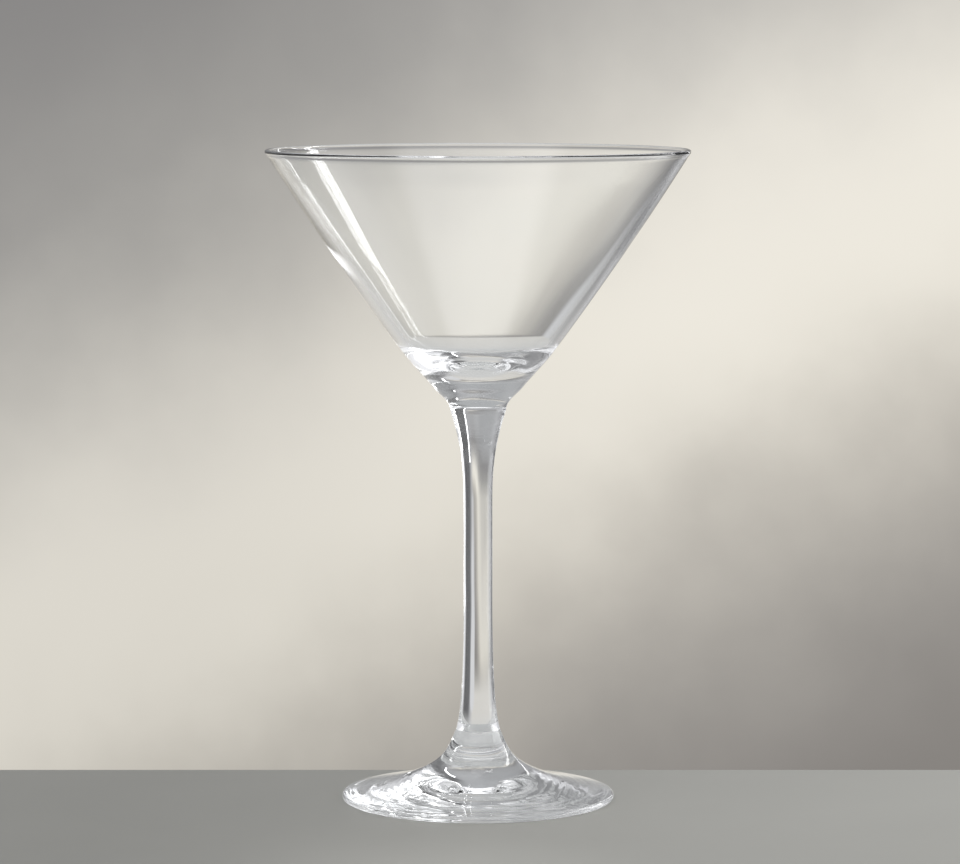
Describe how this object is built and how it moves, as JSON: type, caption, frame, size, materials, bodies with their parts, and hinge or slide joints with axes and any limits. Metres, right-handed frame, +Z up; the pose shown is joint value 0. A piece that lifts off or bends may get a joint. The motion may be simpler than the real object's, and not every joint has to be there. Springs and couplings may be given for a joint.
{
  "type": "martini glass",
  "caption": "Clear glass cocktail glass with a wide conical bowl, a slim drawn stem and a round, gently coned foot.",
  "frame": {"origin": "centre of the foot, on the plane that the glass rests on", "axes": "+Z up along the axis that the whole glass is turned about; +X and +Y are any two square directions, as the glass is round"},
  "size_m": [0.12, 0.12, 0.185],
  "materials": {
    "glass": "clear soda-lime glass, fire-polished, with a faint cool tint where it is thick"
  },
  "bodies": {
    "root": {"bowl": "glass", "stem": "glass", "foot": "glass"}
  },
  "joints": []
}
